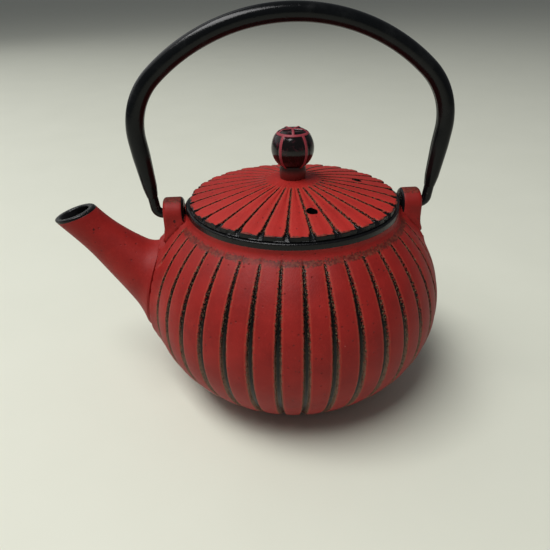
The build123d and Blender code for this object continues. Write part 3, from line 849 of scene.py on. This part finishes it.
def punched(name, rows, columns, place, hole, margins=1):
    """Square cells in rows and columns, each with a hole. place turns (row, column, in cells) into a point;
    hole is the hole's radius as a share of a cell's. Rows within margins of either end have no holes."""
    half_rows, half_columns = 2 * rows + 1, 2 * columns
    lattice = np.arange(half_rows * half_columns).reshape(half_rows, half_columns)
    down, round_ = np.meshgrid(np.arange(half_rows) / 2, np.arange(half_columns) / 2, indexing="ij")
    points = place(down, round_).reshape(-1, 3)
    row, column = (part.ravel() for part in np.meshgrid(np.arange(rows), np.arange(columns), indexing="ij"))
    steps = np.array([(0, 0), (0, 1), (0, 2), (1, 2), (2, 2), (2, 1), (2, 0), (1, 0)])
    border = lattice[2 * row[:, None] + steps[:, 0], (2 * column[:, None] + steps[:, 1]) % half_columns]
    plain = (row < margins) | (row >= rows - margins)
    middle = len(points) + np.arange(rows * columns)
    points = np.vstack([points, place(row + 0.5, column + 0.5).reshape(-1, 3)])
    angle = np.arctan2(steps[:, 0] - 1, steps[:, 1] - 1)
    rim = place(row[:, None] + 0.5 + 0.5 * hole * np.sin(angle),
                column[:, None] + 0.5 + 0.5 * hole * np.cos(angle))
    ring = len(points) + np.arange(rows * columns * 8).reshape(-1, 8)
    points = np.vstack([points, rim.reshape(-1, 3)])
    ahead = np.roll(np.arange(8), -1)
    open_cells = np.stack([border, border[:, ahead], ring[:, ahead], ring], axis=-1)[~plain].reshape(-1, 4)
    shut_cells = np.stack([border, border[:, ahead], np.repeat(middle[:, None], 8, 1)], axis=-1)
    shut_cells = shut_cells[plain].reshape(-1, 3)
    used = np.zeros(len(points), bool)
    used[open_cells] = used[shut_cells] = True
    number = np.cumsum(used) - 1
    piece = make_object(name, points[used], number[open_cells].tolist() + number[shut_cells].tolist())
    thicken = piece.modifiers.new("sheet", "SOLIDIFY")
    thicken.thickness, thicken.offset = SHEET * 0.9 * MM, -1
    return piece


WALL_ROWS, WALL_COLUMNS, FLOOR_ROWS, FLOOR_COLUMNS, HOLE = 17, 104, 17, 72, 0.55


def wall_place(row, column):
    """A cylinder: rows go up its height and columns round it."""
    turn = column * 2 * math.pi / WALL_COLUMNS
    return np.stack([(MESH - 0.02) * np.cos(turn), (MESH - 0.02) * np.sin(turn),
                     wall_low[2] + 0.1 + row * (wall_high[2] - wall_low[2] - 0.1) / WALL_ROWS], axis=-1)


def floor_place(row, column):
    """A disc whose rings grow in equal ratios, so that the cells stay square; it is slightly dished."""
    turn = -column * 2 * math.pi / FLOOR_COLUMNS
    radius = (MESH - 0.2) * np.exp(-row * 2 * math.pi / FLOOR_COLUMNS)
    return np.stack([radius * np.cos(turn), radius * np.sin(turn), wall_low[2] + 0.55 + 0 * radius], axis=-1)


sieve = punched("infuser_sieve", WALL_ROWS, WALL_COLUMNS, wall_place, HOLE, margins=2)
base = punched("infuser_base", FLOOR_ROWS, FLOOR_COLUMNS, floor_place, HOLE)
for piece, node in ((flange, "infuser_rim"), (band, "infuser_band"), (sieve, "infuser_wall"),
                    (base, "infuser_floor")):
    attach(piece, "infuser")
    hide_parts(node)
    report(piece)

# %% [markdown]
# The finishes come next. A material is a tree of nodes, so short helpers keep it readable: one
# adds a node and wires its inputs by name, and others do arithmetic and lay one colour over
# another. Effects that more than one finish shares are node groups with named inputs and outputs.

# %% Node helpers


def feed(tree, socket, value):
    """Gives an input its value: a socket is linked, anything else is a plain value."""
    if isinstance(value, bpy.types.NodeSocket):
        tree.links.new(value, socket)
    else:
        socket.default_value = value


def add_node(tree, kind, settings=None, **inputs):
    """Adds a shader node, with its inputs given by name."""
    node = tree.nodes.new("ShaderNode" + kind)
    for name, value in (settings or {}).items():
        setattr(node, name, value)
    for name, value in inputs.items():
        feed(tree, node.inputs[name.replace("_", " ")], value)
    return node


def maths(tree, operation, *values):
    """One arithmetic node: each value is a socket or a number. An operation's name that ends in _CLAMPED
    holds the result between 0 and 1."""
    node = tree.nodes.new("ShaderNodeMath")
    node.operation = operation.replace("_CLAMPED", "")
    node.use_clamp = operation.endswith("_CLAMPED")
    for socket, value in zip(node.inputs, values):
        feed(tree, socket, value)
    return node.outputs[0]


def times(tree, value, *others):
    """The product of two or more values."""
    for other in others:
        value = maths(tree, "MULTIPLY", value, other)
    return value


def between(tree, value, low, high):
    """0 below low and 1 above high, with an even S between them. Swapped ends turn it over."""
    flip = low > high
    node = add_node(tree, "MapRange", {"interpolation_type": "SMOOTHSTEP"}, Value=value)
    node.inputs["From Min"].default_value, node.inputs["From Max"].default_value = sorted((low, high))
    node.inputs["To Min"].default_value, node.inputs["To Max"].default_value = (1, 0) if flip else (0, 1)
    return node.outputs["Result"]


def blended(tree, share, first, second):
    """A colour that goes from first to second as share goes from 0 to 1."""
    node = add_node(tree, "Mix", {"data_type": "RGBA"})
    feed(tree, node.inputs[0], share)
    for socket, colour in ((node.inputs[6], first), (node.inputs[7], second)):
        feed(tree, socket, colour if isinstance(colour, bpy.types.NodeSocket) else (*colour, 1.0))
    return node.outputs[2]


def coated(tree, colour, coat, *shares):
    """A colour with a coat over it, as far as the product of the shares says."""
    return blended(tree, times(tree, *shares), colour, coat)


def noise(tree, point, size, detail=2.0, rough=0.55):
    """Soft noise whose blobs are about size millimetres, from 0 to 1."""
    node = add_node(tree, "TexNoise", Vector=point, Scale=1 / size, Detail=detail, Roughness=rough)
    return node.outputs["Fac"]


def new_group(name, inputs, outputs):
    """A node group with named float or vector inputs and float outputs. Returns its tree, its inputs and its
    outputs' sockets."""
    tree = bpy.data.node_groups.new(name, "ShaderNodeTree")
    for label, default in inputs.items():
        kind = "NodeSocketVector" if default is None else "NodeSocketFloat"
        socket = tree.interface.new_socket(label, in_out="INPUT", socket_type=kind)
        if default is not None:
            socket.default_value = default
    for label in outputs:
        tree.interface.new_socket(label, in_out="OUTPUT", socket_type="NodeSocketFloat")
    entry, leave = tree.nodes.new("NodeGroupInput"), tree.nodes.new("NodeGroupOutput")
    return tree, entry.outputs, leave.inputs


def use_group(tree, group, **inputs):
    """Places a group in a material, with its inputs given by name."""
    return add_node(tree, "Group", {"node_tree": group}, **inputs).outputs


# %% [markdown]
# Sand-cast iron is never smooth: the mould's grains leave a fine grain, and gas leaves small pits.
# The grain group puts out a height for both, and a slow mottle for the paint's colour. The ragged
# group says where a brushed-over colour holds and where it is rubbed or wiped off: it compares a
# value on the surface with noise, so the border breaks up into specks. The chips group scatters
# small irregular spots, by the distance to random points whose own colour picks only a few.

# %% Shared effects
grain_group, given, result = new_group(
    "cast_grain", {"Point": None, "Grain": 0.5, "Pits": 0.5}, ["Height", "Mottle", "Pit"])
fine = noise(grain_group, given["Point"], 0.45, 3.0, 0.6)
coarse = noise(grain_group, given["Point"], 2.2, 2.0)
cells = add_node(grain_group, "TexVoronoi", Vector=given["Point"], Scale=1 / 1.9, Randomness=1.0)
chosen = add_node(grain_group, "SeparateColor", Color=cells.outputs["Color"]).outputs["Red"]
pit = times(grain_group, between(grain_group, cells.outputs["Distance"], 0.24, 0.10),
            between(grain_group, chosen, 0.70, 0.78), given["Pits"])
height = times(grain_group, maths(grain_group, "MULTIPLY_ADD", coarse, 0.8, fine), given["Grain"])
feed(grain_group, result["Height"], maths(grain_group, "MULTIPLY_ADD", pit, -1.0, height))
feed(grain_group, result["Mottle"], noise(grain_group, given["Point"], 11.0, 3.0, 0.6))
feed(grain_group, result["Pit"], pit)

ragged_group, given, result = new_group(
    "ragged_edge", {"Point": None, "Value": 0.0, "Level": 0.5, "Ragged": 0.5, "Size": 0.7}, ["Over"])
small = add_node(ragged_group, "TexNoise", Vector=given["Point"], Detail=4.0, Roughness=0.7,
                 Scale=maths(ragged_group, "DIVIDE", 1.0, given["Size"]))
swing = times(ragged_group, maths(ragged_group, "SUBTRACT", small.outputs["Fac"], 0.5), given["Ragged"])
signed = maths(ragged_group, "SUBTRACT", maths(ragged_group, "ADD", given["Value"], swing), given["Level"])
feed(ragged_group, result["Over"], between(ragged_group, signed, -0.04, 0.04))

chip_group, given, result = new_group(
    "chips", {"Point": None, "Size": 4.0, "Share": 0.2, "Reach": 0.2}, ["Chip"])
jitter = add_node(chip_group, "TexNoise", Vector=given["Point"], Scale=1.6, Detail=3.0)
shifted = add_node(chip_group, "VectorMath", {"operation": "MULTIPLY_ADD"})
for socket, value in zip(shifted.inputs, (jitter.outputs["Color"], (0.7, 0.7, 0.7), given["Point"])):
    feed(chip_group, socket, value)
near = add_node(chip_group, "TexVoronoi", Vector=shifted.outputs[0], Randomness=1.0,
                Scale=maths(chip_group, "DIVIDE", 1.0, given["Size"]))
picked = add_node(chip_group, "SeparateColor", Color=near.outputs["Color"]).outputs["Green"]
spot_size = times(chip_group, given["Reach"], picked)
inside = maths(chip_group, "GREATER_THAN", spot_size, near.outputs["Distance"])
feed(chip_group, result["Chip"],
     times(chip_group, inside, maths(chip_group, "LESS_THAN", picked, given["Share"])))

# %% [markdown]
# Each material starts the same way: an empty tree, the surface's own point in millimetres, and a
# Principled shader. The point comes from Object coordinates, which stay with the piece as it moves.

# %% Start of a material


def new_material(name):
    """A material with its tree, its point in millimetres and its Principled shader."""
    material = bpy.data.materials.new(name)
    material.use_nodes = True
    tree = material.node_tree
    shader = tree.nodes["Principled BSDF"]
    place = add_node(tree, "TexCoord").outputs["Object"]
    scaled = add_node(tree, "VectorMath", {"operation": "SCALE"}, Scale=1 / MM)
    tree.links.new(place, scaled.inputs[0])
    return material, tree, scaled.outputs[0], shader


def value_of(tree, name):
    """One of the numbers kept on the vertices."""
    return add_node(tree, "Attribute", {"attribute_name": name}).outputs["Fac"]


def finish_material(tree, shader, colour, roughness, height, bump, **constants):
    """Wires colour, roughness and a bump in millimetres into the shader, and sets its plain values."""
    tree.links.new(colour, shader.inputs["Base Color"])
    tree.links.new(roughness, shader.inputs["Roughness"])
    bumped = add_node(tree, "Bump", Height=height, Strength=1.0, Distance=bump * MM)
    tree.links.new(bumped.outputs["Normal"], shader.inputs["Normal"])
    for name, value in constants.items():
        shader.inputs[name.replace("_", " ")].default_value = value


# %% [markdown]
# The red on the pot and lid is a matt paint, wiped so that the black beneath stays in the grooves.
# Real wiping leaves a border of specks and a worn ring where the ribs begin. The lower grooves turn
# grey-brown, partly dust and partly painted reflection. The rib edges get a partly painted highlight, and the
# grooves painted glints. Colours are blended one over another in that order.

# %% Red paint over black iron


def red_iron(name, red, deep_red, level, ragged, dust_and_reflection_height, drilled=()):
    """Red paint on cast iron, black where the groove value passes level, and grey-brown below
    dust_and_reflection_height millimetres, partly dust and partly painted reflection.
    drilled lists the middles of upright holes, whose walls are made black."""
    material, tree, point, shader = new_material(name)
    grain = use_group(tree, grain_group, Point=point, Grain=0.5, Pits=0.8)
    groove, black, wear = (value_of(tree, word) for word in ("groove", "black", "wear"))
    edge = use_group(tree, ragged_group, Point=point, Value=groove, Level=level, Ragged=ragged, Size=0.8)
    flecks = use_group(tree, ragged_group, Point=point, Value=groove, Level=level + 0.25,
                       Ragged=2.4 * ragged, Size=0.42)
    fine = noise(tree, point, 1.1, 3.0, 0.65)
    height = add_node(tree, "SeparateXYZ", Vector=point).outputs["Z"]

    # the paint: two reds, a paler bloom, darker pits, a brighter line at the rib edges, partly thin paint and
    # partly painted highlight, and a darker red beside the grooves
    share = maths(tree, "MULTIPLY_ADD_CLAMPED", grain["Mottle"], 1.5, -0.25)
    paint = blended(tree, share, deep_red, red)
    paint = coated(tree, paint, [c * 1.3 + 0.008 for c in red], between(tree, fine, 0.55, 0.75), 0.30)
    paint = coated(tree, paint, [c * 0.35 for c in deep_red], grain["Pit"], 0.6)
    # a brighter line at the rib edges: partly thin paint, partly painted highlight where the edges catch the
    # light
    paint = coated(tree, paint, (0.50, 0.050, 0.028),
                   between(tree, groove, -1.1, -0.6), between(tree, groove, -0.15, -0.45), 0.35)
    paint = coated(tree, paint, (0.085, 0.014, 0.009),
                   between(tree, groove, -0.9, 0.1), between(tree, fine, 0.35, 0.65), 0.55)

    # the black in the grooves: grey-brown low down, partly dust and partly painted reflection, with painted
    # glints, and pale flanks beside it, also partly dust and partly painted reflection
    low = between(tree, height, dust_and_reflection_height, dust_and_reflection_height - 26)
    dust_and_reflection = times(tree, low, between(tree, groove, 1.0, 0.35), between(tree, fine, 0.2, 0.5))
    iron = blended(tree, dust_and_reflection, (0.0025, 0.0025, 0.0025), (0.085, 0.060, 0.040))
    # painted glints: small golden highlights scattered in the grooves
    glint = between(tree, noise(tree, point, 0.42, 2.0, 0.5), 0.57, 0.63)
    iron = coated(tree, iron, (0.30, 0.20, 0.11), glint, between(tree, groove, 0.8, 0.1), 0.8)
    covered = maths(tree, "MAXIMUM", edge["Over"], times(tree, flecks["Over"], 0.8))
    colour = blended(tree, covered, paint, iron)
    # pale flanks low down beside the grooves: partly dust, partly painted reflection
    flank = times(tree, between(tree, groove, -0.32, -0.02), between(tree, groove, 0.5, 0.2))
    low = between(tree, height, dust_and_reflection_height, dust_and_reflection_height - 24)
    colour = coated(tree, colour, (0.26, 0.155, 0.105), flank, low, between(tree, fine, 0.30, 0.60), 0.8)

    # the worn ring, chips down to the iron, and pale specks
    worn = use_group(tree, ragged_group, Point=point, Value=wear, Level=0.60, Ragged=2.2, Size=0.7)
    brown = blended(tree, between(tree, fine, 0.4, 0.65), (0.036, 0.008, 0.006), (0.135, 0.046, 0.024))
    patch = between(tree, noise(tree, point, 9.0, 2.0), 0.22, 0.48)
    colour = coated(tree, colour, brown, worn["Over"], patch, 0.75)
    chips = use_group(tree, chip_group, Point=point, Size=9.0, Share=0.34, Reach=0.20)["Chip"]
    colour = coated(tree, colour, (0.03, 0.006, 0.006), chips, 0.85)
    specks = use_group(tree, chip_group, Point=point, Size=5.0, Share=0.22, Reach=0.22)["Chip"]
    colour = coated(tree, colour, (0.75, 0.28, 0.24), specks, 0.30)

    # black: the parts marked black, and the walls of the drilled holes
    for spot in drilled:
        flat = add_node(tree, "VectorMath", {"operation": "MULTIPLY"})
        away = add_node(tree, "VectorMath", {"operation": "DISTANCE"})
        for node, values in ((flat, (point, (1, 1, 0))), (away, (flat.outputs[0], (*spot, 0)))):
            for socket, value in zip(node.inputs, values):
                feed(tree, socket, value)
        black = maths(tree, "MAXIMUM", black, between(tree, away.outputs["Value"], VENT + 0.25, VENT + 0.02))
    rim = use_group(tree, ragged_group, Point=point, Value=black, Level=0.5, Ragged=0.35, Size=0.8)
    colour = coated(tree, colour, (0.004, 0.004, 0.0045), rim["Over"])

    bare = maths(tree, "MAXIMUM", edge["Over"], rim["Over"])
    rough = maths(tree, "MULTIPLY_ADD", bare, -0.30, maths(tree, "MULTIPLY_ADD", fine, 0.16, 0.46))
    step = maths(tree, "MULTIPLY_ADD", bare, -0.5, grain["Height"])
    step = maths(tree, "MULTIPLY_ADD", chips, -0.8, step)
    finish_material(tree, shader, colour, rough, step, 0.18, Specular_IOR_Level=0.24)
    return material


PAINT_RED, PAINT_DEEP = (0.345, 0.0165, 0.0125), (0.20, 0.0075, 0.0062)
pot.data.materials.append(red_iron("red_paint_on_iron", PAINT_RED, PAINT_DEEP, 0.0, 3.2, 56.0))
# painted light: the lid's reds are the pot's made lighter, for the light and sheen on its upward face
lid.data.materials.append(red_iron("lid_paint_on_iron", [c * 1.3 for c in PAINT_RED],
                                   [c * 0.9 for c in PAINT_RED], -0.04, 2.2, -60.0, vent_places))

# %% [markdown]
# The knob is dipped in black enamel over red, and the raised ribs are rubbed back to a dull pink-red.
# Its neck has the lid's red under painted shade, darker all over and darkest under the ball.

# %% Knob enamel
material, tree, point, shader = new_material("knob_enamel")
grain = use_group(tree, grain_group, Point=point, Grain=0.5, Pits=0.5)
raised_value = value_of(tree, "raised")
rubbed = use_group(tree, ragged_group, Point=point, Value=raised_value, Level=0.62, Ragged=0.35,
                   Size=0.6)["Over"]
patch = between(tree, noise(tree, point, 2.6, 3.0, 0.6), 0.5, 0.72)
enamel = blended(tree, patch, (0.005, 0.0028, 0.003), (0.050, 0.008, 0.014))
pink = blended(tree, grain["Mottle"], (0.22, 0.022, 0.032), (0.38, 0.055, 0.075))
colour = blended(tree, rubbed, enamel, pink)
on_neck = between(tree, raised_value, -0.2, -0.6)
share = maths(tree, "MULTIPLY_ADD_CLAMPED", grain["Mottle"], 1.5, -0.25)
neck_red = blended(tree, share, PAINT_DEEP, PAINT_RED)
# painted shade on the neck: at least half dark everywhere, and darker up towards the ball
shade = between(tree, add_node(tree, "SeparateXYZ", Vector=point).outputs["Z"], HUB + 2.2, HUB + 4.6)
neck_red = blended(tree, maths(tree, "MULTIPLY_ADD", shade, 0.40, 0.55), neck_red, (0.022, 0.004, 0.003))
colour = blended(tree, on_neck, colour, neck_red)
matt = maths(tree, "MAXIMUM", rubbed, on_neck)
rough = maths(tree, "MULTIPLY_ADD", matt, 0.32, maths(tree, "MULTIPLY_ADD", patch, 0.10, 0.15))
finish_material(tree, shader, colour, rough, grain["Height"], 0.035, Specular_IOR_Level=0.34)
knob.data.materials.append(material)

# %% [markdown]
# The bail and its hooks have a semi-gloss black stove enamel. Knocks have left a few grey chips along it, and
# the hooks are duller where they rub in the lugs.

# %% Bail enamel
material, tree, point, shader = new_material("bail_enamel")
grain = use_group(tree, grain_group, Point=point, Grain=0.35, Pits=0.3)
tip_value = value_of(tree, "tip")
smear = between(tree, noise(tree, point, 9.0, 3.0, 0.6), 0.50, 0.70)
colour = blended(tree, smear, (0.0030, 0.0036, 0.0042), (0.0065, 0.0072, 0.0078))
chips = use_group(tree, chip_group, Point=point, Size=8.0, Share=0.16, Reach=0.55)["Chip"]
colour = blended(tree, chips, colour, (0.23, 0.22, 0.20))
scuffs = use_group(tree, ragged_group, Point=point, Value=tip_value, Level=1.12, Ragged=0.9, Size=1.1)["Over"]
colour = coated(tree, colour, (0.075, 0.068, 0.06), scuffs, 0.7)
rough = maths(tree, "MULTIPLY_ADD", smear, 0.12, maths(tree, "MULTIPLY_ADD", scuffs, 0.2, 0.17))
finish_material(tree, shader, colour, rough, maths(tree, "MULTIPLY_ADD", chips, -0.6, grain["Height"]), 0.08,
                Specular_IOR_Level=0.20)
for piece in [bail] + hooks:
    piece.data.materials.append(material)

# %% [markdown]
# The basket is bright rolled stainless: fine scratches run round it, so the noise is stretched along
# the turning direction by squeezing the upright coordinate. The screw and washer are zinc plated,
# with a dull bloom in soft patches.

# %% Stainless and zinc


def bare_metal(name, tint, bloom, roughness, lines):
    """Bright metal with fine turning lines and soft cloudy patches."""
    material, tree, point, shader = new_material(name)
    squeezed = add_node(tree, "Mapping", Vector=point, Scale=(0.25, 0.25, lines))
    brushed = noise(tree, squeezed.outputs["Vector"], 1.0, 2.0, 0.6)
    cloud = noise(tree, point, 5.0, 3.0, 0.6)
    colour = blended(tree, between(tree, cloud, 0.35, 0.7), tint, bloom)
    rough = maths(tree, "MULTIPLY_ADD", cloud, 0.18, maths(tree, "MULTIPLY_ADD", brushed, 0.08, roughness))
    finish_material(tree, shader, colour, rough, brushed, 0.02, Metallic=1.0)
    return material


stainless = bare_metal("stainless_sheet", (0.62, 0.61, 0.60), (0.50, 0.50, 0.49), 0.20, 9.0)
zinc = bare_metal("zinc_plate", (0.56, 0.57, 0.58), (0.40, 0.40, 0.38), 0.34, 4.0)
for piece in (flange, band, sieve, base):
    piece.data.materials.append(stainless)
for node in ("knob_screw", "knob_washer"):
    for place in frame["nodes"][node].material_slots:
        place.material = zinc

# %% [markdown]
# The pot stands on a plain pale table under soft light from the upper left, with a weak fill. The
# camera looks down on it from the front.

# %% Floor, light and camera
TABLE_HALF = 8000.0
floor = make_object("table", [(-TABLE_HALF, -TABLE_HALF, 0), (TABLE_HALF, -TABLE_HALF, 0),
                              (TABLE_HALF, TABLE_HALF, 0), (-TABLE_HALF, TABLE_HALF, 0)], [(0, 1, 2, 3)])
material, tree, point, shader = new_material("pale_table")
spread = noise(tree, point, 60.0, 4.0, 0.6)
finish_material(tree, shader, blended(tree, spread, (0.69, 0.70, 0.59), (0.73, 0.74, 0.63)),
                maths(tree, "MULTIPLY_ADD", spread, 0.1, 0.45), spread, 0.02)
floor.data.materials.append(material)


def add_light(name, place, width, depth, power, aim=(0, 0, 45)):
    """A rectangular area light, width by depth millimetres, at place and turned towards aim."""
    lamp = bpy.data.lights.new(name, "AREA")
    lamp.shape = "RECTANGLE"
    lamp.size, lamp.size_y, lamp.energy = width * MM, depth * MM, power
    made = bpy.data.objects.new(name, lamp)
    made.location = [value * MM for value in place]
    direction = Vector(aim) - Vector(place)
    made.rotation_euler = direction.to_track_quat("-Z", "Y").to_euler()
    bpy.context.scene.collection.objects.link(made)


add_light("window", (-520, -300, 1500), 1200, 600, 24.0)
add_light("fill", (-900, 700, 900), 1400, 1400, 4.0)
world = bpy.data.worlds.new("studio")
world.use_nodes = True
world.node_tree.nodes["Background"].inputs["Color"].default_value = (0.92, 0.96, 1.0, 1.0)
world.node_tree.nodes["Background"].inputs["Strength"].default_value = 0.15
bpy.context.scene.world = world
bpy.context.scene.view_settings.view_transform = "Standard"

LENS, ROLL = 35.28, math.radians(-1.217)
lens = bpy.data.cameras.new("camera")
lens.lens, lens.sensor_width = LENS, 36.0
camera = bpy.data.objects.new("camera", lens)
back = Vector((-0.0535, -0.8743, 0.4825)).normalized()
right = Vector((0, 0, 1)).cross(back).normalized()
up = back.cross(right)
tilted_right = right * math.cos(ROLL) + up * math.sin(ROLL)
tilted_up = up * math.cos(ROLL) - right * math.sin(ROLL)
turn_matrix = Matrix((tilted_right, tilted_up, back)).transposed().to_4x4()
camera.matrix_world = Matrix.Translation(Vector((-20.69, -207.62, 162.5)) * MM) @ turn_matrix
bpy.context.scene.collection.objects.link(camera)
bpy.context.scene.camera = camera
